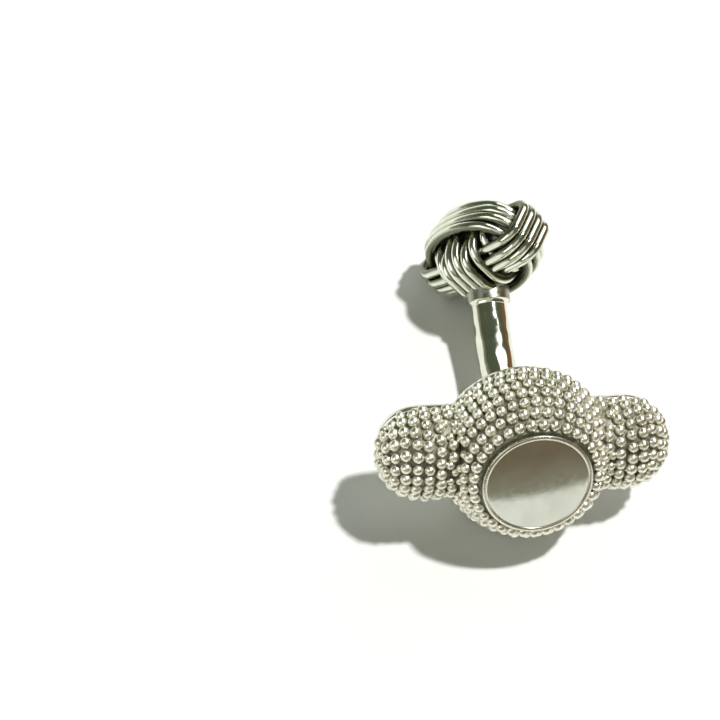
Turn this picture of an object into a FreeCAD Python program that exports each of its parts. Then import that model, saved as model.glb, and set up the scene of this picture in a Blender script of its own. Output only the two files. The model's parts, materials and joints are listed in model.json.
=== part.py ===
import FreeCAD, Part
import math
import os

# A rigid silver cufflink: a granulated head of three lobes with a polished face,
# a curved post and a knot of interlaced rods. Lengths are in millimetres, angles in degrees.
# It is drawn in its own axes, X along the lobes, Y up the face and Z out of the face,
# with the rear of the back plate at zero. At the end it is laid down on a table.

# Fits and cuts
FIT_CLEARANCE = 0.02
OVERRUN = 1.0

# Back plate
PLATE_THICKNESS = 0.5
PLATE_RIM = 0.15

# Shells of the three lobes
SHELL_WALL = 0.5
CENTRE_WIDEST_RADIUS = 4.8
CENTRE_WIDEST_HEIGHT = 1.65
CENTRE_CURVE_RADIUS = 5.0
LOBE_RADIUS = 2.5
LOBE_AXIS_HEIGHT = 1.3
LOBE_REACH = 8.55
LOBE_TIP_FLAT = 0.15

# Polished face and its bezel
FACE_RADIUS = 3.05
FACE_THICKNESS = 0.45
FACE_EDGE_BEVEL = 0.08
BEZEL_WALL = 0.2
BEZEL_HEIGHT = 0.4
FRONT_LIP = 0.1

# Grains
GRAIN_RADIUS = 0.345
GRAIN_GAP = 0.015
GRAIN_SEAT_LATITUDE = 27

# Post
POST_RADIUS = 1.165
POST_BEND_RADIUS = 13.0
POST_TURN = 47
TENON_RADIUS = 0.75
TENON_PROUD = 0.25

# Knot
STRAND_RADIUS = 0.31
STRAND_GAP = 0.015
STRANDS_PER_BAND = 4
OVERPASS_GAP = 0.03
BAND_CROWN_DROP = 0.43
BAND_END_FLAT = 0.48
BAND_END_ROUND_SHARE = 0.88
KNOT_SLACK = 0.18
KNOT_STRETCH = 1.65
KNOT_TWIST = 1
KNOT_TILT = -35
KNOT_SPIN = -60
CUP_RADIUS = 1.4
CUP_FLOOR = 0.3
CUP_DEPTH = 0.6

# How the link lies on the table, right-hand lobe down
REST_ROLL = 4
STEEPEST_REST_PITCH = 60
REST_PITCH_STEPS = 18

X_AXIS = FreeCAD.Vector(1, 0, 0)
Y_AXIS = FreeCAD.Vector(0, 1, 0)
Z_AXIS = FreeCAD.Vector(0, 0, 1)
ORIGIN = FreeCAD.Vector()

pieces = {}


def line(start, end):
    return Part.LineSegment(start, end).toShape()


def arc(start, middle, end):
    return Part.Arc(start, middle, end).toShape()


def turned(edges, axis):
    """Solid of revolution of a closed outline about an axis through the origin."""
    return Part.Face(Part.Wire(edges)).revolve(ORIGIN, axis, 360)


def rounded_rectangle(half_x, half_y, corner):
    """Closed wire in the XY plane, four lines and four quarter arcs."""
    diagonal = corner * math.sqrt(0.5)
    edges = []
    for side_x, side_y in ((1, 1), (-1, 1), (-1, -1), (1, -1)):
        centre = FreeCAD.Vector(side_x * (half_x - corner), side_y * (half_y - corner))
        beside = centre + FreeCAD.Vector(side_x * corner, 0)
        above = centre + FreeCAD.Vector(0, side_y * corner)
        middle = centre + FreeCAD.Vector(side_x * diagonal, side_y * diagonal)
        turning_up = side_x * side_y > 0
        edges.append(arc(beside, middle, above) if turning_up else arc(above, middle, beside))
    wire_edges = []
    for number, corner_edge in enumerate(edges):
        following = edges[(number + 1) % len(edges)]
        wire_edges.append(corner_edge)
        wire_edges.append(line(corner_edge.lastVertex(True).Point, following.firstVertex(True).Point))
    return Part.Wire(wire_edges)


# Middle lobe: a dome whose side is one arc, widest above the plate and flat in front

bezel_inner_radius = FACE_RADIUS + FIT_CLEARANCE
bezel_outer_radius = bezel_inner_radius + BEZEL_WALL
front_radius = bezel_outer_radius + FRONT_LIP
curve_centre = CENTRE_WIDEST_RADIUS - CENTRE_CURVE_RADIUS
front_angle = math.acos((front_radius - curve_centre) / CENTRE_CURVE_RADIUS)
back_angle = -math.asin((CENTRE_WIDEST_HEIGHT - PLATE_THICKNESS) / CENTRE_CURVE_RADIUS)
front_height = CENTRE_WIDEST_HEIGHT + CENTRE_CURVE_RADIUS * math.sin(front_angle)


def dome_body(inset, bottom):
    """Solid dome, inset from the outside of the shell and flat at the given bottom."""
    reach = CENTRE_CURVE_RADIUS - inset
    top = front_height - inset
    low = math.asin((bottom - CENTRE_WIDEST_HEIGHT) / reach)
    high = math.asin((top - CENTRE_WIDEST_HEIGHT) / reach)

    def side(angle):
        return FreeCAD.Vector(curve_centre + reach * math.cos(angle), 0,
                              CENTRE_WIDEST_HEIGHT + reach * math.sin(angle))

    floor_centre = FreeCAD.Vector(0, 0, bottom)
    top_centre = FreeCAD.Vector(0, 0, top)
    outline = [line(floor_centre, side(low)),
               arc(side(low), side((low + high) / 2), side(high)),
               line(side(high), top_centre),
               line(top_centre, floor_centre)]
    return turned(outline, Z_AXIS)


centre_body = dome_body(0, PLATE_THICKNESS)
pieces["centre_shell"] = centre_body.cut(dome_body(SHELL_WALL, PLATE_THICKNESS - FIT_CLEARANCE))


# Side lobes: barrels with rounded ends that butt against the dome and stand on the plate

lobe_axis = FreeCAD.Vector(0, 0, LOBE_AXIS_HEIGHT)
end_round = LOBE_RADIUS - LOBE_TIP_FLAT
barrel_length = LOBE_REACH - end_round


def barrel_body(inset):
    """Solid barrel from the head's middle out to the right-hand tip."""
    radius = LOBE_RADIUS - inset
    reach = LOBE_REACH - inset
    corner = end_round - inset
    diagonal = corner * math.sqrt(0.5)
    edge_start = FreeCAD.Vector(barrel_length, 0, radius)
    edge_middle = FreeCAD.Vector(barrel_length + diagonal, 0, LOBE_TIP_FLAT + diagonal)
    edge_end = FreeCAD.Vector(reach, 0, LOBE_TIP_FLAT)
    tip = FreeCAD.Vector(reach, 0, 0)
    top = FreeCAD.Vector(0, 0, radius)
    outline = [line(ORIGIN, top),
               line(top, edge_start),
               arc(edge_start, edge_middle, edge_end),
               line(edge_end, tip),
               line(tip, ORIGIN)]
    barrel = turned(outline, X_AXIS)
    barrel.translate(lobe_axis)
    return barrel


below_corner = FreeCAD.Vector(-LOBE_REACH - OVERRUN, -LOBE_REACH, PLATE_THICKNESS - 2 * LOBE_RADIUS)
below_lobes = Part.makeBox(2 * LOBE_REACH + 2 * OVERRUN, 2 * LOBE_REACH, 2 * LOBE_RADIUS, below_corner)
right_lobe = barrel_body(0).cut(barrel_body(SHELL_WALL)).cut(centre_body).cut(below_lobes)
pieces["right_lobe_shell"] = right_lobe
pieces["left_lobe_shell"] = right_lobe.mirror(ORIGIN, X_AXIS)


# Back plate: the outline of the three lobes with a plain edge past them

lobe_drop = LOBE_AXIS_HEIGHT - PLATE_THICKNESS
foot_half_width = math.sqrt(LOBE_RADIUS ** 2 - lobe_drop ** 2) + PLATE_RIM
foot_reach = LOBE_REACH + PLATE_RIM
dome_foot_radius = curve_centre + CENTRE_CURVE_RADIUS * math.cos(back_angle) + PLATE_RIM
plate_bar = Part.Face(rounded_rectangle(foot_reach, foot_half_width, foot_half_width - LOBE_TIP_FLAT))
plate_disc = Part.makeCylinder(dome_foot_radius, PLATE_THICKNESS)
tenon_hole = Part.makeCylinder(TENON_RADIUS + FIT_CLEARANCE, PLATE_THICKNESS + 2 * OVERRUN,
                               FreeCAD.Vector(0, 0, -OVERRUN))
plate = plate_bar.extrude(FreeCAD.Vector(0, 0, PLATE_THICKNESS)).fuse(plate_disc).removeSplitter()
pieces["back_plate"] = plate.cut(tenon_hole)


# Polished face in its bezel, both standing on the flat front of the dome

front_centre = FreeCAD.Vector(0, 0, front_height)
face_top = front_height + FACE_THICKNESS
face_rim = FACE_RADIUS - FACE_EDGE_BEVEL
face_corners = [front_centre,
                FreeCAD.Vector(FACE_RADIUS, 0, front_height),
                FreeCAD.Vector(FACE_RADIUS, 0, face_top - FACE_EDGE_BEVEL),
                FreeCAD.Vector(face_rim, 0, face_top),
                FreeCAD.Vector(0, 0, face_top),
                front_centre]
pieces["face_plate"] = turned(Part.makePolygon(face_corners).Edges, Z_AXIS)
bezel = Part.makeCylinder(bezel_outer_radius, BEZEL_HEIGHT, front_centre)
pieces["face_bezel"] = bezel.cut(Part.makeCylinder(bezel_inner_radius, BEZEL_HEIGHT, front_centre))


# Grains: balls with a flat seat, set in rings on the shells

grain_pitch = 2 * GRAIN_RADIUS + GRAIN_GAP
grain_lift = GRAIN_RADIUS * math.sin(math.radians(GRAIN_SEAT_LATITUDE))
lowest_grain = PLATE_THICKNESS + GRAIN_RADIUS


def ring_angles(radius, row):
    """Evenly spaced angles round a whole ring of grains, every other row half a step on."""
    count = max(1, int(2 * math.pi * radius / grain_pitch))
    return [2 * math.pi * (number + (row % 2) / 2) / count for number in range(count)]


def arch_angles(radius, row):
    """Evenly spaced angles round a side lobe's ring, from the plate over the front to the plate."""
    drop = LOBE_AXIS_HEIGHT - lowest_grain
    if radius <= drop:
        return ring_angles(radius, row)
    low = -math.asin(drop / radius)
    span = math.pi - 2 * low
    count = int(span * radius / grain_pitch)
    shift = (row % 2) / 2
    return [low + span * (number + shift) / count for number in range(count + 1 - row % 2)]


def above_barrel(point):
    """Distance of a point from the outside of the nearer side lobe."""
    along = abs(point.x) - barrel_length
    away = math.hypot(point.y, point.z - LOBE_AXIS_HEIGHT)
    if along <= 0:
        return away - LOBE_RADIUS
    return math.hypot(along, max(0, away - LOBE_TIP_FLAT)) - end_round


def above_dome(point):
    """Distance of a point from the side of the middle lobe."""
    outward = math.hypot(point.x, point.y) - curve_centre
    return math.hypot(outward, point.z - CENTRE_WIDEST_HEIGHT) - CENTRE_CURVE_RADIUS


def grain(centre, outward):
    return Part.makeSphere(GRAIN_RADIUS, centre, outward, -GRAIN_SEAT_LATITUDE, 90, 360)


grain_reach = CENTRE_CURVE_RADIUS + grain_lift
first_slope = front_angle - grain_pitch / (2 * grain_reach)
last_slope = math.asin((lowest_grain - CENTRE_WIDEST_HEIGHT) / grain_reach)
row_steps = int((first_slope - last_slope) * grain_reach / grain_pitch)
centre_grains = []
for row in range(row_steps + 1):
    slope = first_slope - row * (first_slope - last_slope) / row_steps
    ring_radius = curve_centre + grain_reach * math.cos(slope)
    ring_height = CENTRE_WIDEST_HEIGHT + grain_reach * math.sin(slope)
    row_grains = []
    for angle in ring_angles(ring_radius, row):
        away = FreeCAD.Vector(math.cos(angle), math.sin(angle), 0)
        centre = away * ring_radius + Z_AXIS * ring_height
        outward = away * math.cos(slope) + Z_AXIS * math.sin(slope)
        if above_barrel(centre) >= GRAIN_RADIUS:
            row_grains.append(grain(centre, outward))
            centre_grains.append(centre)
    pieces["centre_grain_row_" + str(row + 1)] = Part.makeCompound(row_grains)

# Rings round a side lobe start with one grain on the tip and run inwards to the dome
end_arc_length = (end_round + grain_lift) * math.pi / 2
lobe_rows = int((LOBE_TIP_FLAT + end_arc_length + barrel_length) / grain_pitch)
for row in range(lobe_rows):
    travelled = row * grain_pitch
    turn = (travelled - LOBE_TIP_FLAT) / (end_round + grain_lift)
    turn = min(max(turn, 0), math.pi / 2)
    ring_radius = min(travelled, LOBE_TIP_FLAT) + (end_round + grain_lift) * math.sin(turn)
    ring_x = barrel_length + (end_round + grain_lift) * math.cos(turn)
    ring_x -= max(0, travelled - LOBE_TIP_FLAT - end_arc_length)
    row_grains = []
    for angle in arch_angles(ring_radius, row):
        away = FreeCAD.Vector(0, math.cos(angle), math.sin(angle))
        centre = lobe_axis + X_AXIS * ring_x + away * ring_radius
        outward = X_AXIS * math.cos(turn) + away * math.sin(turn)
        clear = min([centre.distanceToPoint(other) for other in centre_grains])
        if above_dome(centre) >= GRAIN_RADIUS and clear >= 2 * GRAIN_RADIUS:
            row_grains.append(grain(centre, outward))
    if row_grains:
        ring = Part.makeCompound(row_grains)
        pieces["right_lobe_grain_row_" + str(row + 1)] = ring
        pieces["left_lobe_grain_row_" + str(row + 1)] = ring.mirror(ORIGIN, X_AXIS)


# Post: a round rod on one long arc, with a tenon through the back plate

post_section = Part.Face(Part.Wire(Part.makeCircle(POST_RADIUS)))
bend_centre = FreeCAD.Vector(0, POST_BEND_RADIUS, 0)
post_rod = post_section.revolve(bend_centre, X_AXIS, POST_TURN)
tenon = Part.makeCylinder(TENON_RADIUS, PLATE_THICKNESS + TENON_PROUD)
pieces["post"] = post_rod.fuse(tenon)


# Knot: three bands of rods at right angles, each passing over one of the others and
# under the third. The outer rods of a band are drawn in so that the next band rounds them.

strand_pitch = 2 * STRAND_RADIUS + STRAND_GAP
outer_strand = strand_pitch * (STRANDS_PER_BAND - 1) / 2
inner_strand = strand_pitch * ((STRANDS_PER_BAND - 1) % 2) / 2
overpass = strand_pitch + OVERPASS_GAP
band_short = outer_strand + strand_pitch + BAND_CROWN_DROP + KNOT_SLACK
band_long = band_short + overpass
band_wide = band_short + KNOT_STRETCH
band_longest = band_wide + overpass
knot_turn = FreeCAD.Rotation(Y_AXIS, KNOT_SPIN) * FreeCAD.Rotation(Z_AXIS, KNOT_TWIST)
knot_turn *= FreeCAD.Rotation(X_AXIS, KNOT_TILT)
next_axis = FreeCAD.Vector(1, 1, 1)


def oval(half_long, half_short):
    """Closed wire in the XY plane, longest along X: bulging sides, round corners and short flat ends."""
    bulge = half_short - BAND_END_FLAT
    corner = bulge * BAND_END_ROUND_SHARE
    run = half_long - corner
    side_radius = (run ** 2 + bulge ** 2 - corner ** 2) / (2 * (bulge - corner))
    side_centre = half_short - side_radius
    turn = math.atan2(run, side_radius - bulge)
    half_turn = (turn + math.pi / 2) / 2
    joint_x = side_radius * math.sin(turn)
    joint_y = side_centre + side_radius * math.cos(turn)
    corner_x = run + corner * math.sin(half_turn)
    corner_y = BAND_END_FLAT + corner * math.cos(half_turn)
    edges = []
    for side in (1, -1):
        def place(x, y):
            return FreeCAD.Vector(side * x, side * y)

        edges.append(line(place(half_long, -BAND_END_FLAT), place(half_long, BAND_END_FLAT)))
        edges.append(arc(place(half_long, BAND_END_FLAT), place(corner_x, corner_y), place(joint_x, joint_y)))
        edges.append(arc(place(joint_x, joint_y), place(0, half_short), place(-joint_x, joint_y)))
        edges.append(arc(place(-joint_x, joint_y), place(-corner_x, corner_y),
                         place(-half_long, BAND_END_FLAT)))
    return Part.Wire(edges)


def strand(band, offset, half_long, half_short, radius):
    """One closed rod of a band, offset square to the band's plane."""
    drawn_in = half_short - BAND_CROWN_DROP * (abs(offset) - inner_strand) / (outer_strand - inner_strand)
    if half_long > drawn_in:
        path = oval(half_long, drawn_in)
    else:
        path = oval(drawn_in, half_long)
        path.rotate(ORIGIN, Z_AXIS, 90)
    section = Part.Wire(Part.makeCircle(radius, FreeCAD.Vector(half_long, 0), Y_AXIS))
    rod = path.makePipeShell([section], True, False)
    rod.translate(FreeCAD.Vector(0, 0, offset))
    band_turn = FreeCAD.Rotation(next_axis, 120 * band)
    rod.Placement = FreeCAD.Placement(ORIGIN, knot_turn * band_turn) * rod.Placement
    return rod


bands = (("end_band", band_longest, band_short),
         ("waist_band", band_long, band_short),
         ("crown_band", band_long, band_wide))
strands = {}
cup_tools = []
for band, (name, half_long, half_short) in enumerate(bands):
    for number in range(STRANDS_PER_BAND):
        offset = number * strand_pitch - outer_strand
        rod = strand(band, offset, half_long, half_short, STRAND_RADIUS)
        strands[name + "_strand_" + str(number + 1)] = rod
        cup_tools.append(strand(band, offset, half_long, half_short, STRAND_RADIUS + FIT_CLEARANCE))

# The knot sits on the post with its lowest rod over the post's end just clear of the cup's floor
under_knot = Part.makeCylinder(CUP_RADIUS, 2 * band_longest, FreeCAD.Vector(0, -2 * band_longest, 0), Y_AXIS)
over_post = [tool.common(under_knot) for tool in cup_tools]
knot_reach = -min([shape.optimalBoundingBox(False, False).YMin for shape in over_post if shape.Solids])
turn_in_radians = math.radians(POST_TURN)
post_direction = FreeCAD.Vector(0, math.sin(turn_in_radians), -math.cos(turn_in_radians))
to_post_end = FreeCAD.Vector(0, -math.cos(turn_in_radians), -math.sin(turn_in_radians))
post_end = bend_centre + to_post_end * POST_BEND_RADIUS
knot_centre = post_end + post_direction * (CUP_FLOOR + knot_reach)
knot_place = FreeCAD.Placement(knot_centre, FreeCAD.Rotation(X_AXIS, POST_TURN - 90))
for name, rod in strands.items():
    rod.Placement = knot_place * rod.Placement
    pieces[name] = rod

cup_base = FreeCAD.Vector(0, -knot_reach - CUP_FLOOR, 0)
cup = Part.makeCylinder(CUP_RADIUS, CUP_FLOOR + CUP_DEPTH, cup_base, Y_AXIS).cut(cup_tools)
# What stands free between the rods is filed away
cup = max(cup.Solids, key=lambda solid: solid.Volume)
cup.Placement = knot_place * cup.Placement
pieces["knot_cup"] = cup

# Slug that the rods are wrapped round
slug_radius = band_short - BAND_CROWN_DROP - STRAND_RADIUS - FIT_CLEARANCE
slug_half_length = band_wide - BAND_CROWN_DROP - STRAND_RADIUS - FIT_CLEARANCE
slug_straight = slug_half_length - slug_radius
slug = Part.makeCylinder(slug_radius, 2 * slug_straight, FreeCAD.Vector(-slug_straight, 0, 0), X_AXIS)
for side in (-1, 1):
    slug = slug.fuse(Part.makeSphere(slug_radius, FreeCAD.Vector(side * slug_straight, 0, 0), X_AXIS))
slug.Placement = knot_place * FreeCAD.Placement(ORIGIN, knot_turn) * slug.Placement
pieces["knot_core"] = slug


# Lay the link on a table, face to the front and tipped up until head and knot both touch,
# with the middle of its box over the origin


def rest_place(pitch):
    turn = FreeCAD.Rotation(Y_AXIS, REST_ROLL) * FreeCAD.Rotation(X_AXIS, 90 - pitch)
    return FreeCAD.Placement(ORIGIN, turn)


def lowest(shape, pitch):
    laid = shape.copy()
    laid.Placement = rest_place(pitch) * laid.Placement
    return laid.optimalBoundingBox(False, False).ZMin


knot = Part.makeCompound(list(strands.values()))
head = Part.makeCompound([shape for name, shape in pieces.items() if name.startswith(("centre", "back"))])
flat_pitch = 0
steep_pitch = STEEPEST_REST_PITCH
for step in range(REST_PITCH_STEPS):
    rest_pitch = (flat_pitch + steep_pitch) / 2
    if lowest(head, rest_pitch) < lowest(knot, rest_pitch):
        flat_pitch = rest_pitch
    else:
        steep_pitch = rest_pitch
for shape in pieces.values():
    shape.Placement = rest_place(rest_pitch) * shape.Placement
box = Part.makeCompound(list(pieces.values())).optimalBoundingBox(False, False)
drop = FreeCAD.Vector(-box.Center.x, -box.Center.y, -box.ZMin)

os.makedirs("parts", exist_ok=True)
for name, shape in pieces.items():
    shape.Placement = FreeCAD.Placement(drop, FreeCAD.Rotation()) * shape.Placement
    shape.exportStep("parts/" + name + ".step")

print("pieces", len(pieces), "pitch", round(rest_pitch, 3), "box", round(box.XLength, 3),
      round(box.YLength, 3), round(box.ZLength, 3))
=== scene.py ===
import json
import math
import bmesh
import bpy
import numpy as np
from mathutils import Matrix, Vector


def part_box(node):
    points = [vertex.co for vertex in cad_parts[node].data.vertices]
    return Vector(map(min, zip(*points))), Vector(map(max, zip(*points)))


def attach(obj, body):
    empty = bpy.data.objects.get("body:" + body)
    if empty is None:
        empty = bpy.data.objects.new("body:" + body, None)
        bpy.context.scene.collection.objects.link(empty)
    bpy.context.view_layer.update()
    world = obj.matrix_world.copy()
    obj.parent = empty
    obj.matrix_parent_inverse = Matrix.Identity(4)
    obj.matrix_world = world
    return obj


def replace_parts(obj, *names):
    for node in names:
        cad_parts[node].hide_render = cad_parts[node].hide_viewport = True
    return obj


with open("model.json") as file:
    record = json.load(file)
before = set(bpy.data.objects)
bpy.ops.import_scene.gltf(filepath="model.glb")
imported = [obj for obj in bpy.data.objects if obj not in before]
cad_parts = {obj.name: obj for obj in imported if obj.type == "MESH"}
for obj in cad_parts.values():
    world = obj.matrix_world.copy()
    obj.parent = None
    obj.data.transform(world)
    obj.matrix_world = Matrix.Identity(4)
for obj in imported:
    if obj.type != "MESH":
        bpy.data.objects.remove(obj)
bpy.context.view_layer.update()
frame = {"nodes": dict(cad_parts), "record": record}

# Back plate: flat sheet silver, sawn to the outline of the three lobes, with a filed
# and polished edge. It closes the rear of the head and takes the tenon of the post.

MM = 0.001
mounts = {mount["name"]: mount for mount in frame["record"]["mounts"]}
face_centre = Vector(mounts["polished_face"]["pos_m"])
face_out = Vector(mounts["polished_face"]["axis"]).normalized()
lobe_line = Vector((face_out.z, 0, -face_out.x)).normalized()
face_up = face_out.cross(lobe_line)


class Shade:
    """One value in a finish, so that sums are written as sums."""

    def __init__(self, finish, socket):
        self.finish = finish
        self.socket = socket

    def sum(self, operation, first, second):
        return self.finish.node("ShaderNodeMath", {"operation": operation}, {0: first, 1: second})

    def __add__(self, other):
        return self.sum("ADD", self, other)

    def __radd__(self, other):
        return self.sum("ADD", other, self)

    def __sub__(self, other):
        return self.sum("SUBTRACT", self, other)

    def __rsub__(self, other):
        return self.sum("SUBTRACT", other, self)

    def __mul__(self, other):
        return self.sum("MULTIPLY", self, other)

    def __rmul__(self, other):
        return self.sum("MULTIPLY", other, self)


class Finish:
    """The nodes of one finish of the silver, or of the light round it."""

    def __init__(self, tree):
        self.tree = tree
        self.tree.nodes.clear()

    def node(self, kind, settings=None, sockets=None, output=0):
        made = self.tree.nodes.new(kind)
        for name, value in (settings or {}).items():
            if name == "stops":
                ramp = made.color_ramp.elements
                while len(ramp) < len(value):
                    ramp.new(1)
                for stop, (place, colour) in zip(ramp, value):
                    stop.position = place
                    stop.color = (*colour, 1)
            else:
                setattr(made, name, value)
        for name, value in (sockets or {}).items():
            if isinstance(value, Shade):
                self.tree.links.new(value.socket, made.inputs[name])
            else:
                made.inputs[name].default_value = value
        return Shade(self, made.outputs[output]) if made.outputs else None

    def smooth_step(self, value, low, high):
        return self.node("ShaderNodeMapRange", {"interpolation_type": "SMOOTHSTEP"},
                         {"Value": value, "From Min": low, "From Max": high})

    def blend(self, share, first, second):
        """Colour between two others, by a share from 0 to 1."""
        return self.node("ShaderNodeMix", {"data_type": "RGBA"}, {0: share, 6: first, 7: second}, 2)


TONE_SCALE = 700.0
GRIT_SCALE = 2600.0
SCRATCH_SCALE = 900.0
SCRATCH_TURN = (0.5, 0.3, 0.8)
SCRATCH_STRETCH = (1.0, 14.0, 14.0)
WAVE_SCALE = 520.0
GRIT_SHARE = 0.25


def silver(name, bright, dull, gloss, scratch_depth, wave_depth=0.0, dark=None):
    """Solid silver: tone and gloss drift a little over it, the hand leaves low waves and polishing
    leaves hair scratches. Where dark is given, it holds the attribute that says how far out a place
    faces, the two values between which the painted shade goes, its colour, and how much duller it is."""
    material = bpy.data.materials.new(name)
    material.use_nodes = True
    finish = Finish(material.node_tree)
    place = finish.node("ShaderNodeTexCoord", output="Object")
    drift = finish.node("ShaderNodeTexNoise", None, {"Vector": place, "Scale": TONE_SCALE, "Detail": 4.0})
    colour = finish.blend(finish.smooth_step(drift, 0.35, 0.7), (*bright, 1), (*dull, 1))
    fine = finish.node("ShaderNodeTexNoise", None, {"Vector": place, "Scale": GRIT_SCALE, "Detail": 5.0})
    roughness = gloss[0] + (gloss[1] - gloss[0]) * finish.smooth_step(fine, 0.3, 0.75)
    # Painted shade: darker and duller where the attribute says a place faces inward or down.
    if dark:
        attribute, all_dark, all_bright, dark_colour, duller = dark
        rubbed = finish.node("ShaderNodeAttribute", {"attribute_name": attribute}, None, "Fac")
        share = finish.smooth_step(rubbed + GRIT_SHARE * (fine - 0.5), all_dark, all_bright)
        colour = finish.blend(share, (*dark_colour, 1), colour)
        roughness = roughness + (1 - share) * duller
    stretched = finish.node("ShaderNodeMapping", None,
                            {"Vector": place, "Rotation": SCRATCH_TURN, "Scale": SCRATCH_STRETCH})
    scratch = finish.node("ShaderNodeTexNoise", None,
                          {"Vector": stretched, "Scale": SCRATCH_SCALE, "Detail": 6.0, "Roughness": 0.7})
    wave = finish.node("ShaderNodeTexNoise", None, {"Vector": place, "Scale": WAVE_SCALE, "Detail": 1.0})
    relief = scratch * scratch_depth + wave * wave_depth
    bump = finish.node("ShaderNodeBump", None, {"Strength": 1.0, "Distance": 1.0, "Height": relief})
    surface = finish.node("ShaderNodeBsdfPrincipled", None,
                          {"Base Color": colour, "Metallic": 1.0, "Roughness": roughness, "Normal": bump})
    finish.node("ShaderNodeOutputMaterial", None, {"Surface": surface})
    return material


def dress(node, material):
    """Gives a piece that comes straight from the solids its finish."""
    mesh = frame["nodes"][node].data
    mesh.materials.clear()
    mesh.materials.append(material)


PLATE_EDGE_ROUND = 0.12 * MM
FLAT_ANGLE = math.radians(0.5)
SAWN_ANGLE = math.radians(60)
plate_finish = silver("back_plate_polish", (0.82, 0.82, 0.72), (0.72, 0.72, 0.61), (0.10, 0.22),
                      0.0000014, 0.00001)
sheet = bmesh.new()
sheet.from_mesh(frame["nodes"]["back_plate"].data)
bmesh.ops.remove_doubles(sheet, verts=sheet.verts, dist=1e-7)
bmesh.ops.dissolve_limit(sheet, angle_limit=FLAT_ANGLE, verts=sheet.verts, edges=sheet.edges)
sawn = [edge for edge in sheet.edges if edge.is_manifold and edge.calc_face_angle() > SAWN_ANGLE]
bmesh.ops.bevel(sheet, geom=sawn, offset=PLATE_EDGE_ROUND, segments=3, profile=0.5, affect="EDGES",
                clamp_overlap=True)
bmesh.ops.triangulate(sheet, faces=[face for face in sheet.faces if len(face.verts) > 4])
for face in sheet.faces:
    face.smooth = abs(face.normal.dot(face_out)) < 0.999
plate_mesh = bpy.data.meshes.new("plate_sheet")
sheet.to_mesh(plate_mesh)
sheet.free()
plate_mesh.materials.append(plate_finish)
plate_piece = bpy.data.objects.new("plate_sheet", plate_mesh)
bpy.context.scene.collection.objects.link(plate_piece)
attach(plate_piece, "root")
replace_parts(plate_piece, "back_plate")

# Shells: the domed middle lobe and the two barrels, raised from sheet silver and soldered
# to the plate. Their dark colour is painted shade for the gaps between the grains.

# The shells' dark colour is painted shade, seen in the gaps between the grains.
shell_finish = silver("shell_painted_shade", (0.27, 0.265, 0.21), (0.17, 0.165, 0.13), (0.48, 0.65), 0.000002)
for shell in ("centre_shell", "left_lobe_shell", "right_lobe_shell"):
    dress(shell, shell_finish)

# Grains: small balls of silver, melted on charcoal and fused to the shells in rings. Each
# grain is darker low down, where it sits on the shell: painted shade.

GRAIN_RADIUS = 0.345 * MM
GRAIN_SWELL = 1.1
GRAIN_STRAY = 0.028 * MM
SMALLEST_GRAIN_SHARE = 0.87
GRAIN_SIDES = 10
GRAIN_RINGS = 7
# The dark colour low on each grain is painted shade.
grain_finish = silver("grain_polish", (0.88, 0.868, 0.755), (0.73, 0.72, 0.608), (0.27, 0.43), 0.0000018, 0.0,
                      ("rubbed", -0.45, 0.15, (0.31, 0.30, 0.24), 0.2))


def wired(tree, kind, settings=None, sockets=None):
    """One node of a tree of shapes, with its settings and the values or links of its sockets."""
    made = tree.nodes.new(kind)
    for name, value in (settings or {}).items():
        setattr(made, name, value)
    for name, value in (sockets or {}).items():
        if isinstance(value, bpy.types.NodeSocket):
            tree.links.new(value, made.inputs[name])
        else:
            made.inputs[name].default_value = value
    return made


def shape_tree(name, sizes):
    """An empty tree of shapes with a named input for each size."""
    tree = bpy.data.node_groups.new(name, "GeometryNodeTree")
    tree.interface.new_socket("Geometry", in_out="INPUT", socket_type="NodeSocketGeometry")
    for size, kind in sizes.items():
        tree.interface.new_socket(size, in_out="INPUT", socket_type=kind)
    tree.interface.new_socket("Geometry", in_out="OUTPUT", socket_type="NodeSocketGeometry")
    return tree, tree.nodes.new("NodeGroupInput").outputs


def made_by(tree, name, mesh, values):
    """The plain mesh that a tree makes of a start mesh, as one piece on the link."""
    start = bpy.data.objects.new(name + "_start", mesh)
    bpy.context.scene.collection.objects.link(start)
    modifier = start.modifiers.new("shape", "NODES")
    modifier.node_group = tree
    for socket in tree.interface.items_tree:
        if socket.in_out == "INPUT" and socket.name in values:
            modifier[socket.identifier] = values[socket.name]
    bpy.context.view_layer.update()
    seen = start.evaluated_get(bpy.context.evaluated_depsgraph_get())
    piece = bpy.data.objects.new(name, bpy.data.meshes.new_from_object(seen))
    start.modifiers.remove(modifier)
    bpy.data.objects.remove(start)
    bpy.context.scene.collection.objects.link(piece)
    return piece


grain_tree, given = shape_tree("grains", {"Grain radius": "NodeSocketFloat",
                                          "Smallest share": "NodeSocketFloat",
                                          "Stray": "NodeSocketFloat", "Seed": "NodeSocketInt",
                                          "Finish": "NodeSocketMaterial"})
ball = wired(grain_tree, "GeometryNodeMeshUVSphere", None,
             {"Segments": GRAIN_SIDES, "Rings": GRAIN_RINGS, "Radius": given["Grain radius"]})
# Height over the ball's middle, which sets the painted shade low on each grain.
height = wired(grain_tree, "ShaderNodeSeparateXYZ", None,
               {"Vector": wired(grain_tree, "GeometryNodeInputPosition").outputs[0]})
share = wired(grain_tree, "ShaderNodeMath", {"operation": "DIVIDE"},
              {0: height.outputs["Z"], 1: given["Grain radius"]})
ball_painted_shade = wired(grain_tree, "GeometryNodeStoreNamedAttribute", {"data_type": "FLOAT", "domain": "POINT"},
               {"Geometry": ball.outputs["Mesh"], "Name": "rubbed", "Value": share.outputs[0]})
outward = wired(grain_tree, "GeometryNodeInputNamedAttribute", {"data_type": "FLOAT_VECTOR"},
                {"Name": "outward"})
turn = wired(grain_tree, "FunctionNodeAlignRotationToVector", {"axis": "Z"}, {"Vector": outward.outputs[0]})
size = wired(grain_tree, "FunctionNodeRandomValue", {"data_type": "FLOAT"},
             {2: given["Smallest share"], 3: 1.0, "Seed": given["Seed"]})
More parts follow.
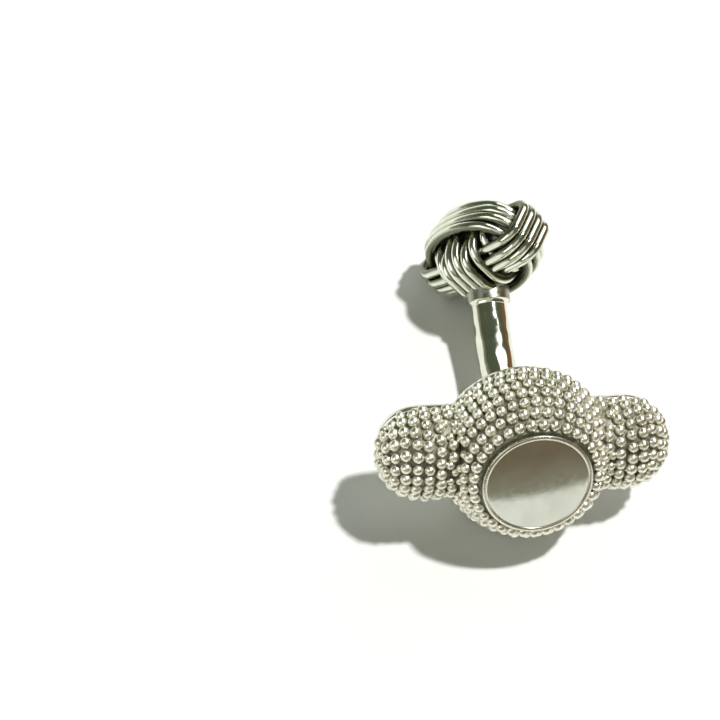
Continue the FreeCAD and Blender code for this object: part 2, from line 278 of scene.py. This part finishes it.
stray = wired(grain_tree, "FunctionNodeRandomValue", {"data_type": "FLOAT_VECTOR"},
              {0: (-1, -1, -1), 1: (1, 1, 1), "Seed": given["Seed"]})
off = wired(grain_tree, "ShaderNodeVectorMath", {"operation": "SCALE"},
            {0: stray.outputs[0], "Scale": given["Stray"]})
seated = wired(grain_tree, "GeometryNodeSetPosition", None,
               {"Geometry": given["Geometry"], "Offset": off.outputs[0]})
set_out = wired(grain_tree, "GeometryNodeInstanceOnPoints", None,
                {"Points": seated.outputs[0], "Instance": ball_painted_shade.outputs[0], "Rotation": turn.outputs[0],
                 "Scale": size.outputs[1]})
smooth = wired(grain_tree, "GeometryNodeSetShadeSmooth", None, {"Geometry": set_out.outputs[0]})
real = wired(grain_tree, "GeometryNodeRealizeInstances", None, {"Geometry": smooth.outputs[0]})
coated = wired(grain_tree, "GeometryNodeSetMaterial", None,
               {"Geometry": real.outputs[0], "Material": given["Finish"]})
wired(grain_tree, "NodeGroupOutput", None, {"Geometry": coated.outputs[0]})


def grain_seats(node):
    """Centre of each grain in a row of the solids, and the way the grain faces."""
    row = bmesh.new()
    row.from_mesh(frame["nodes"][node].data)
    bmesh.ops.remove_doubles(row, verts=row.verts, dist=GRAIN_RADIUS / 1000)
    waiting = set(row.verts)
    seats = []
    while waiting:
        grain = {waiting.pop()}
        edge = list(grain)
        while edge:
            near = {link.other_vert(corner) for corner in edge for link in corner.link_edges} - grain
            grain |= near
            edge = list(near)
        waiting -= grain
        points = np.array([corner.co for corner in grain])
        sphere = np.linalg.lstsq(np.column_stack([2 * points, np.ones(len(points))]),
                                 (points ** 2).sum(axis=1), rcond=None)[0]
        centre = Vector(sphere[:3])
        seats.append((centre, (Vector(points.mean(axis=0)) - centre).normalized()))
    row.free()
    return sorted(seats, key=lambda seat: tuple(seat[0]))


def grains_at(name, seats, radius, seed):
    """One piece of the head's granulation, with a grain on every seat."""
    points = bpy.data.meshes.new(name + "_seats")
    sink = radius * (GRAIN_SWELL - 1) + GRAIN_STRAY
    points.from_pydata([centre - way * sink for centre, way in seats], [], [])
    facing = points.attributes.new("outward", "FLOAT_VECTOR", "POINT")
    facing.data.foreach_set("vector", np.array([way for _, way in seats]).ravel())
    piece = made_by(grain_tree, name, points,
                    {"Grain radius": radius * GRAIN_SWELL, "Smallest share": SMALLEST_GRAIN_SHARE,
                     "Stray": GRAIN_STRAY, "Seed": seed, "Finish": grain_finish})
    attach(piece, "root")
    return piece


grain_rows = {node: grain_seats(node) for node in sorted(frame["nodes"]) if "grain_row" in node}
for number, (node, seats) in enumerate(grain_rows.items()):
    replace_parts(grains_at(node.replace("_row", "s"), seats, GRAIN_RADIUS, number), node)

# Creases: smaller grains fill the two grooves where the barrels meet the dome, on both of
# their sides and down to the plate, each set in the tightest place that is still free.

FILL_RADIUS = 0.27 * MM
FILL_SEAT = 0.4 * FILL_RADIUS
FILL_OVER_PLATE = 0.8 * FILL_RADIUS
LEAST_ROOM = 0.58 * FILL_RADIUS
TOUCHING = 0.99 * FILL_SEAT
CREASE_WIDTH = 0.9 * MM
ALONG_LOBE = np.arange(3.4, 5.6, 0.06) * MM
ROUND_LOBE = np.radians(np.arange(-25, 205.1, 1.5))
ROUND_DOME = np.radians(np.arange(-50, 50.1, 0.8))
UP_DOME = np.radians(np.arange(-14, 60, 0.8))
FIRST_FILL_SEED = 50
LOBE_RADIUS = 2.5 * MM
LOBE_AXIS_HEIGHT = 1.3 * MM
DOME_WIDEST_RADIUS = 4.8 * MM
DOME_WIDEST_HEIGHT = 1.65 * MM
DOME_CURVE_RADIUS = 5.0 * MM
PLATE_THICKNESS = 0.5 * MM
FACE_HEIGHT = 5.6 * MM
plate_rear = face_centre - face_out * FACE_HEIGHT
head_turn = Matrix((lobe_line, face_up, face_out)).transposed()
dome_level = Vector((0, 0, DOME_WIDEST_HEIGHT))
dome_inset = DOME_WIDEST_RADIUS - DOME_CURVE_RADIUS
set_grains = np.array([centre for seats in grain_rows.values() for centre, _ in seats])


def above_lobe(spot):
    """Distance of a spot from the round side of a barrel."""
    return math.hypot(spot.y, spot.z - LOBE_AXIS_HEIGHT) - LOBE_RADIUS


def above_dome(spot):
    """Distance of a spot from the side of the dome."""
    from_axis = math.hypot(spot.x, spot.y)
    return math.hypot(from_axis - dome_inset, spot.z - DOME_WIDEST_HEIGHT) - DOME_CURVE_RADIUS


def crease_spots(side):
    """Places for a small grain on a barrel and on the dome beside it, and the way it faces there."""
    spots = []
    for along in ALONG_LOBE:
        for angle in ROUND_LOBE:
            around = Vector((0, math.cos(angle), math.sin(angle)))
            middle = Vector((side * along, 0, LOBE_AXIS_HEIGHT))
            spots.append((around * (LOBE_RADIUS + FILL_SEAT) + middle, around))
    for longitude in ROUND_DOME:
        for latitude in UP_DOME:
            level = Vector((side * math.cos(longitude), math.sin(longitude), 0))
            around = level * math.cos(latitude) + Vector((0, 0, math.sin(latitude)))
            spot = level * dome_inset + around * (DOME_CURVE_RADIUS + FILL_SEAT) + dome_level
            if above_lobe(spot) < CREASE_WIDTH:
                spots.append((spot, around))
    return spots


for side, name in ((-1, "left_lobe_fill_grains"), (1, "right_lobe_fill_grains")):
    free = [(plate_rear + head_turn @ spot, head_turn @ around) for spot, around in crease_spots(side)
            if min(above_dome(spot), above_lobe(spot)) > TOUCHING
            and spot.z > PLATE_THICKNESS + FILL_OVER_PLATE]
    spots = np.array([spot for spot, _ in free])
    room_left = np.array([np.linalg.norm(set_grains - spot, axis=1).min() for spot in spots]) - GRAIN_RADIUS
    fill = []
    while (room_left > LEAST_ROOM).any():
        tightest = int(np.argmin(np.where(room_left > LEAST_ROOM, room_left, np.inf)))
        fill.append(free[tightest])
        room_left = np.minimum(room_left, np.linalg.norm(spots - spots[tightest], axis=1) - FILL_RADIUS)
    grains_at(name, fill, FILL_RADIUS, FIRST_FILL_SEED + side)

# Face and bezel: a thick disc of silver, cut slightly crowned and brought to a mirror, held
# by a thin ring that is soldered to the front of the dome and burnished against it.

FACE_RADIUS = 3.05 * MM
FACE_THICKNESS = 0.45 * MM
FACE_CROWN = 0.09 * MM
FACE_CROWN_SHARE = 0.98
FACE_STEPS = 16
FACE_EDGE_ROUND = 0.05 * MM
BEZEL_GAP = 0.02 * MM
BEZEL_WALL = 0.2 * MM
BEZEL_HEIGHT = 0.4 * MM
BEZEL_LIP = 0.05 * MM
BEZEL_CREST = 0.03 * MM
face_finish = silver("face_mirror", (0.645, 0.65, 0.575), (0.59, 0.59, 0.515), (0.07, 0.12),
                     0.0000004, 0.000006)
bezel_finish = silver("bezel_satin", (0.76, 0.75, 0.65), (0.66, 0.65, 0.55), (0.2, 0.3),
                      0.000001, 0.000004)


def lathed(name, outline, material, foot, axis, sides=128):
    """Piece turned about an axis square to the lobes, from radii and heights over its foot."""
    across = axis.cross(lobe_line)
    mesh = bmesh.new()
    rings = []
    for radius, height in outline:
        ring = []
        for number in range(sides if radius > 0 else 1):
            angle = 2 * math.pi * number / sides
            away = lobe_line * math.cos(angle) + across * math.sin(angle)
            ring.append(mesh.verts.new(foot + away * radius + axis * height))
        rings.append(ring)
    for first, second in zip(rings, rings[1:]):
        for number in range(sides):
            corners = [first[number % len(first)], first[(number + 1) % sides % len(first)],
                       second[(number + 1) % sides % len(second)], second[number % len(second)]]
            mesh.faces.new(list(dict.fromkeys(corners))).smooth = True
    bmesh.ops.remove_doubles(mesh, verts=mesh.verts, dist=1e-8)
    bmesh.ops.recalc_face_normals(mesh, faces=mesh.faces)
    data = bpy.data.meshes.new(name)
    mesh.to_mesh(data)
    mesh.free()
    data.materials.append(material)
    piece = bpy.data.objects.new(name, data)
    bpy.context.scene.collection.objects.link(piece)
    return piece


def rounded(radius, height, size, start, end, steps=6):
    """Points round an edge of a turned outline."""
    return [(radius + size * math.cos(math.radians(start + (end - start) * step / steps)),
             height + size * math.sin(math.radians(start + (end - start) * step / steps)))
            for step in range(steps + 1)]


face_foot = face_centre - face_out * FACE_THICKNESS
rim_height = FACE_THICKNESS - FACE_CROWN
crowned = [(FACE_RADIUS * FACE_CROWN_SHARE * step / FACE_STEPS,
            FACE_THICKNESS - FACE_CROWN * (step / FACE_STEPS) ** 2) for step in range(FACE_STEPS)]
face_edge = rounded(FACE_RADIUS - FACE_EDGE_ROUND, rim_height - FACE_EDGE_ROUND, FACE_EDGE_ROUND, 88, 0)
face_outline = crowned + face_edge + [(FACE_RADIUS, 0), (0, 0)]
face_piece = lathed("face_disc", face_outline, face_finish, face_foot, face_out)
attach(face_piece, "root")
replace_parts(face_piece, "face_plate")

bezel_in = FACE_RADIUS + BEZEL_GAP
bezel_out = bezel_in + BEZEL_WALL
lip_radius = FACE_RADIUS - BEZEL_LIP
lip_height = FACE_THICKNESS - FACE_CROWN * (lip_radius / FACE_RADIUS) ** 2
bezel_middle = (lip_radius + bezel_out) / 2
bezel_half = (bezel_out - lip_radius) / 2
bezel_crest = [(bezel_middle - bezel_half * math.cos(math.radians(15 * step)),
                lip_height + (BEZEL_HEIGHT + BEZEL_CREST - lip_height) * math.sin(math.radians(15 * step)))
               for step in range(13)]
bezel_outline = [(bezel_in, 0), (bezel_in, rim_height)] + bezel_crest + [(bezel_out, 0), (bezel_in, 0)]
bezel_piece = lathed("face_ring", bezel_outline, bezel_finish, face_foot, face_out)
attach(bezel_piece, "root")
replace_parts(bezel_piece, "face_bezel")

# Post: a drawn round rod, bent on one long arc so that the link sits square on the cuff, then
# tenoned and soldered through the plate. It is polished bright all round.

POST_RADIUS = 1.165 * MM
POST_BEND_RADIUS = 13.0 * MM
POST_TURN = 47
POST_STEPS = 60
POST_SIDES = 64
SOLDER_FILLET = 0.32 * MM
CUP_SOLDER_WIDTH = 0.2 * MM
post_finish = silver("post_polish", (0.83, 0.83, 0.73), (0.74, 0.74, 0.62), (0.06, 0.14), 0.0000009, 0.0002)
rod_tree, given = shape_tree("rods", {"Rod radius": "NodeSocketFloat", "Sides": "NodeSocketInt",
                                      "Finish": "NodeSocketMaterial"})
path = wired(rod_tree, "GeometryNodeMeshToCurve", None, {"Mesh": given["Geometry"]})
section = wired(rod_tree, "GeometryNodeCurvePrimitiveCircle", None,
                {"Resolution": given["Sides"], "Radius": given["Rod radius"]})
rod = wired(rod_tree, "GeometryNodeCurveToMesh", None,
            {"Curve": path.outputs[0], "Profile Curve": section.outputs[0], "Fill Caps": True})
smooth = wired(rod_tree, "GeometryNodeSetShadeSmooth", None, {"Geometry": rod.outputs[0]})
real = wired(rod_tree, "GeometryNodeRealizeInstances", None, {"Geometry": smooth.outputs[0]})
coated = wired(rod_tree, "GeometryNodeSetMaterial", None,
               {"Geometry": real.outputs[0], "Material": given["Finish"]})
wired(rod_tree, "NodeGroupOutput", None, {"Geometry": coated.outputs[0]})


def rod_along(name, points, closed, radius, sides, material):
    """Round rod of silver along a row of points."""
    start = bpy.data.meshes.new(name + "_path")
    links = [(number, number + 1) for number in range(len(points) - 1)]
    start.from_pydata(points, links + ([(len(points) - 1, 0)] if closed else []), [])
    piece = made_by(rod_tree, name, start, {"Rod radius": radius, "Sides": sides, "Finish": material})
    outside = bmesh.new()
    outside.from_mesh(piece.data)
    bmesh.ops.recalc_face_normals(outside, faces=outside.faces)
    outside.to_mesh(piece.data)
    outside.free()
    return piece


post_middle = Vector(mounts["cuff_post"]["pos_m"])
post_along = Vector(mounts["cuff_post"]["axis"]).normalized()
bend_centre = post_middle + lobe_line.cross(post_along) * POST_BEND_RADIUS
post_points = []
for step in range(POST_STEPS + 1):
    swing = Matrix.Rotation(math.radians(POST_TURN) * (step / POST_STEPS - 0.5), 3, lobe_line)
    post_points.append(bend_centre + swing @ (post_middle - bend_centre))
if (post_points[0] - face_centre).length > (post_points[-1] - face_centre).length:
    post_points.reverse()
post_piece = rod_along("post_rod", post_points, False, POST_RADIUS, POST_SIDES, post_finish)
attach(post_piece, "root")
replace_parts(post_piece, "post")


def solder(name, foot, axis, width):
    """Hollow fillet of solder in the corner between the post and what it stands on."""
    fillet = [(POST_RADIUS + width * (1 - math.cos(math.radians(15 * step))),
               SOLDER_FILLET * (1 - math.sin(math.radians(15 * step)))) for step in range(7)]
    ring = lathed(name, fillet + [(POST_RADIUS, 0), fillet[0]], post_finish, foot, axis, POST_SIDES)
    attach(ring, "root")


solder("plate_solder", post_points[0], -face_out, SOLDER_FILLET)
solder("cup_solder", post_points[-1], (post_points[-2] - post_points[-1]).normalized(), CUP_SOLDER_WIDTH)

# Cup and slug: the cup is turned and filed to the rods, and soldered to the end of the post;
# it is dull, and its colour is darkened as painted shade under the knot. The slug is the plain
# core that the rods are wrapped round, coloured dark as painted shade inside the knot.

# The darker colours of the cup and the slug are painted shade under and inside the knot.
cup_finish = silver("cup_dull_painted_shade", (0.42, 0.43, 0.35), (0.24, 0.25, 0.19), (0.26, 0.42), 0.000002, 0.00002)
slug_finish = silver("slug_dull_painted_shade", (0.5, 0.5, 0.41), (0.3, 0.3, 0.235), (0.4, 0.6), 0.000002)
dress("knot_cup", cup_finish)
dress("knot_core", slug_finish)

# Knot: twelve drawn rods in three bands, each band bent to an oval, laid over the next and
# tucked under the third, then soldered and polished. Each rod is darker on its flanks and
# inner side, where it lies against the next: painted shade.

STRAND_RADIUS = 0.31 * MM
STRAND_PITCH = 0.635 * MM
STRANDS_PER_BAND = 4
OVERPASS = STRAND_PITCH + 0.03 * MM
CROWN_DROP = 0.43 * MM
END_FLAT = 0.48 * MM
END_ROUND_SHARE = 0.88
KNOT_SLACK = 0.18 * MM
KNOT_STRETCH = 1.65 * MM
KNOT_TURNS = (("X", POST_TURN - 90), ("Y", -60), ("Z", 1), ("X", -35))
ROD_SIDES = 20
CORNER_STEPS = 14
SIDE_STEPS = 12
# The dark colour on the flanks and inner side of each rod is painted shade.
knot_finish = silver("knot_polish", (0.825, 0.85, 0.735), (0.70, 0.73, 0.60), (0.07, 0.17), 0.0000009,
                     0.000008, ("rubbed", 0.3, 0.95, (0.17, 0.175, 0.125), 0.2))
rods = [node for node in frame["nodes"] if "_strand_" in node]
corners = [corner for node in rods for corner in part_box(node)]
knot_low = Vector([min(corner[axis] for corner in corners) for axis in range(3)])
knot_high = Vector([max(corner[axis] for corner in corners) for axis in range(3)])
knot_centre = (knot_low + knot_high) / 2
knot_turn = Matrix((lobe_line, face_up, face_out)).transposed()
for axis, degrees in KNOT_TURNS:
    knot_turn = knot_turn @ Matrix.Rotation(math.radians(degrees), 3, axis)


def oval(half_long, half_short):
    """Points round a band's path, longest along X: bulging sides, round corners, short flat ends."""
    bulge = half_short - END_FLAT
    corner = bulge * END_ROUND_SHARE
    run = half_long - corner
    side_radius = (run ** 2 + bulge ** 2 - corner ** 2) / (2 * (bulge - corner))
    turn = math.atan2(run, side_radius - bulge)
    points = []
    for step in range(CORNER_STEPS + 1):
        angle = (math.pi / 2 - turn) * step / CORNER_STEPS
        points.append((run + corner * math.cos(angle), END_FLAT + corner * math.sin(angle)))
    for step in range(1, 2 * SIDE_STEPS):
        angle = turn * (1 - step / SIDE_STEPS)
        points.append((side_radius * math.sin(angle),
                       half_short - side_radius + side_radius * math.cos(angle)))
    for step in range(CORNER_STEPS + 1):
        angle = math.pi / 2 + turn + (math.pi / 2 - turn) * step / CORNER_STEPS
        points.append((corner * math.cos(angle) - run, END_FLAT + corner * math.sin(angle)))
    points.append((-half_long, 0))
    return points + [(-x, -y) for x, y in points]


def band_path(half_x, half_y):
    """An oval that is longest along X or along Y."""
    if half_x > half_y:
        return oval(half_x, half_y)
    return [(-y, x) for x, y in oval(half_y, half_x)]


outer_strand = STRAND_PITCH * (STRANDS_PER_BAND - 1) / 2
inner_strand = STRAND_PITCH * ((STRANDS_PER_BAND - 1) % 2) / 2
band_short = outer_strand + STRAND_PITCH + CROWN_DROP + KNOT_SLACK
bands = (("end_band", band_short + KNOT_STRETCH + OVERPASS, band_short),
         ("waist_band", band_short + OVERPASS, band_short),
         ("crown_band", band_short + OVERPASS, band_short + KNOT_STRETCH))


def knot_rod(name, band, flat, offset):
    """One rod of a band, with painted shade on its flanks and inner side, where it lies against the next."""
    band_turn = knot_turn @ Matrix.Rotation(math.radians(120 * band), 3, Vector((1, 1, 1)))
    points = [knot_centre + band_turn @ Vector((x, y, offset)) for x, y in flat]
    piece = rod_along(name, points, True, STRAND_RADIUS, ROD_SIDES, knot_finish)
    # How far each point of the rod faces out from the knot, which sets its painted shade.
    rings = np.array([point.co for point in piece.data.vertices]).reshape(len(points), -1, 3)
    middles = rings.mean(axis=1)
    outward = np.cross(np.roll(middles, -1, axis=0) - np.roll(middles, 1, axis=0), band_turn.col[2])
    outward *= np.sign((outward * (middles - np.array(knot_centre))).sum(axis=1, keepdims=True))
    outward /= np.linalg.norm(outward, axis=1, keepdims=True)
    height = ((rings - middles[:, None]) * outward[:, None]).sum(axis=2) / STRAND_RADIUS
    piece.data.attributes.new("rubbed", "FLOAT", "POINT").data.foreach_set("value", height.ravel())
    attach(piece, "root")
    return piece


for band, (name, half_long, half_short) in enumerate(bands):
    for number in range(STRANDS_PER_BAND):
        offset = number * STRAND_PITCH - outer_strand
        drawn_in = half_short - CROWN_DROP * (abs(offset) - inner_strand) / (outer_strand - inner_strand)
        flat = band_path(half_long, drawn_in)
        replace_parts(knot_rod(f"{name}_rod_{number + 1}", band, flat, offset), f"{name}_strand_{number + 1}")

# Fill rods: more turns of the same rod beside the waist band, tucked in under the other two
# bands, so that no hole is left between the bands of the long knot.

FILL_RISE = (0.25 * MM, -0.45 * MM)


def half_width(path, along):
    """Half the width of an oval, at a place along it."""
    side = sorted(point for point in path if point[1] > 0)
    return np.interp(along, [x for x, _ in side], [y for _, y in side])


end_path = oval(bands[0][1], bands[0][2])
crown_path = oval(bands[2][2] - CROWN_DROP, bands[2][1])
for number, rise in enumerate(FILL_RISE):
    along = outer_strand + (number + 1) * STRAND_PITCH
    flat = band_path(half_width(end_path, along) + rise, half_width(crown_path, along) - OVERPASS)
    knot_rod(f"fill_rod_{2 * number + 1}", 1, flat, -along)
    knot_rod(f"fill_rod_{2 * number + 2}", 1, flat, along)

# Table and light: a white table, a lamp high on the right for the shadow, four cards that only
# the silver sees, two of them brown, and a dark room with two windows that is pale low down.

TABLE_HALF = 4
table_mesh = bpy.data.meshes.new("table")
table_corners = [(x * TABLE_HALF, y * TABLE_HALF, 0) for x, y in ((-1, -1), (1, -1), (1, 1), (-1, 1))]
table_mesh.from_pydata(table_corners, [], [(0, 1, 2, 3)])
table = bpy.data.objects.new("table", table_mesh)
bpy.context.scene.collection.objects.link(table)
table_finish = bpy.data.materials.new("table_white")
table_finish.use_nodes = True
paint = Finish(table_finish.node_tree)
matt = paint.node("ShaderNodeBsdfDiffuse", None, {"Color": (0.93, 0.935, 0.93, 1)})
paint.node("ShaderNodeOutputMaterial", None, {"Surface": matt})
table_mesh.materials.append(table_finish)


def card(name, corners, foot, top, low, high):
    """A card that stands by the table, one colour below its foot height and another above its top height."""
    mesh = bpy.data.meshes.new(name)
    mesh.from_pydata([Vector(corner) * MM for corner in corners], [], [range(len(corners))])
    made = bpy.data.objects.new(name, mesh)
    bpy.context.scene.collection.objects.link(made)
    card_finish = bpy.data.materials.new(name + "_board")
    card_finish.use_nodes = True
    board = Finish(card_finish.node_tree)
    place = board.node("ShaderNodeTexCoord", output="Object")
    height = board.node("ShaderNodeSeparateXYZ", None, {"Vector": place}, "Z")
    share = board.smooth_step(height, foot * MM, top * MM)
    glow = board.node("ShaderNodeEmission", None,
                      {"Color": board.blend(share, (*low, 1), (*high, 1)), "Strength": 1.0})
    board.node("ShaderNodeOutputMaterial", None, {"Surface": glow})
    mesh.materials.append(card_finish)
    made.visible_camera = False
    made.visible_diffuse = False
    made.visible_shadow = False


card("front_card", ((-70, -46, 0.3), (90, -46, 2.5), (90, -46, 40), (-70, -46, 40)), 2, 9,
     (0.31, 0.30, 0.235), (0.225, 0.18, 0.125))
card("right_card", ((26, -15, 0), (26, 60, 0), (26, 60, 16), (26, -15, 16)), 0, 16,
     (0.24, 0.135, 0.07), (0.16, 0.09, 0.045))
card("left_card", ((-115, -109, 47), (-158, -18, 47), (-104, 7, 128), (-62, -84, 128)), 47, 128,
     (2.0, 2.05, 1.92), (2.0, 2.05, 1.92))
card("back_card", ((31, 149, 65), (117, 98, 65), (82, 39, 139), (-4, 91, 139)), 65, 139,
     (2.3, 2.3, 2.22), (2.3, 2.3, 2.22))

world = bpy.data.worlds.new("room")
world.use_nodes = True
bpy.context.scene.world = world
room = Finish(world.node_tree)
way = room.node("ShaderNodeTexCoord", output="Generated")
level = room.node("ShaderNodeSeparateXYZ", None, {"Vector": way}, "Z")
walls = room.node("ShaderNodeValToRGB",
                  {"stops": ((0.0, (0.40, 0.38, 0.31)), (0.15, (0.25, 0.24, 0.18)),
                             (0.35, (0.08, 0.10, 0.062)), (1.0, (0.085, 0.105, 0.072)))},
                  {"Fac": level})


def window(colours, toward, inner, outer, brightness):
    """A bright patch of the room, round one direction."""
    nearness = room.node("ShaderNodeVectorMath", {"operation": "DOT_PRODUCT"},
                         {0: way, 1: Vector(toward).normalized()}, "Value")
    share = room.smooth_step(nearness, math.cos(math.radians(outer)), math.cos(math.radians(inner)))
    return room.blend(share, colours, (*brightness, 1))


walls = window(walls, (-0.2, -0.7, 0.8), 22, 34, (0.62, 0.62, 0.58))
walls = window(walls, (0.38, 0.63, 0.68), 16, 25, (1.15, 1.17, 1.13))
light = room.node("ShaderNodeBackground", None, {"Color": walls, "Strength": 1.0})
room.node("ShaderNodeOutputWorld", None, {"Surface": light})

lamp = bpy.data.lights.new("lamp", "SUN")
lamp.energy = 2.9
lamp.angle = math.radians(4)
lamp.color = (1.0, 0.995, 0.985)
lamp_stand = bpy.data.objects.new("lamp", lamp)
lamp_stand.rotation_euler = Vector((0.42, 0.07, 1.0)).to_track_quat("Z", "Y").to_euler()
bpy.context.scene.collection.objects.link(lamp_stand)

# Camera: close and high on the left of the face, where it sees the link lie on its side with
# the knot behind the head.

camera_data = bpy.data.cameras.new("camera")
camera_data.lens = 87.744
camera_data.sensor_width = 36
camera_data.clip_start = 0.005
camera = bpy.data.objects.new("camera", camera_data)
look = Vector((0.07838655, 0.52911758, -0.8449202)).normalized()
right = look.cross(Vector((0.08628872, 0.84074628, 0.53450907))).normalized()
turn = Matrix((right, right.cross(look), -look)).transposed().to_4x4()
camera.matrix_world = Matrix.Translation(Vector((-17.40868, -56.5376, 96.18024)) * MM) @ turn
bpy.context.scene.collection.objects.link(camera)
bpy.context.scene.camera = camera
bpy.context.scene.view_settings.view_transform = "Standard"
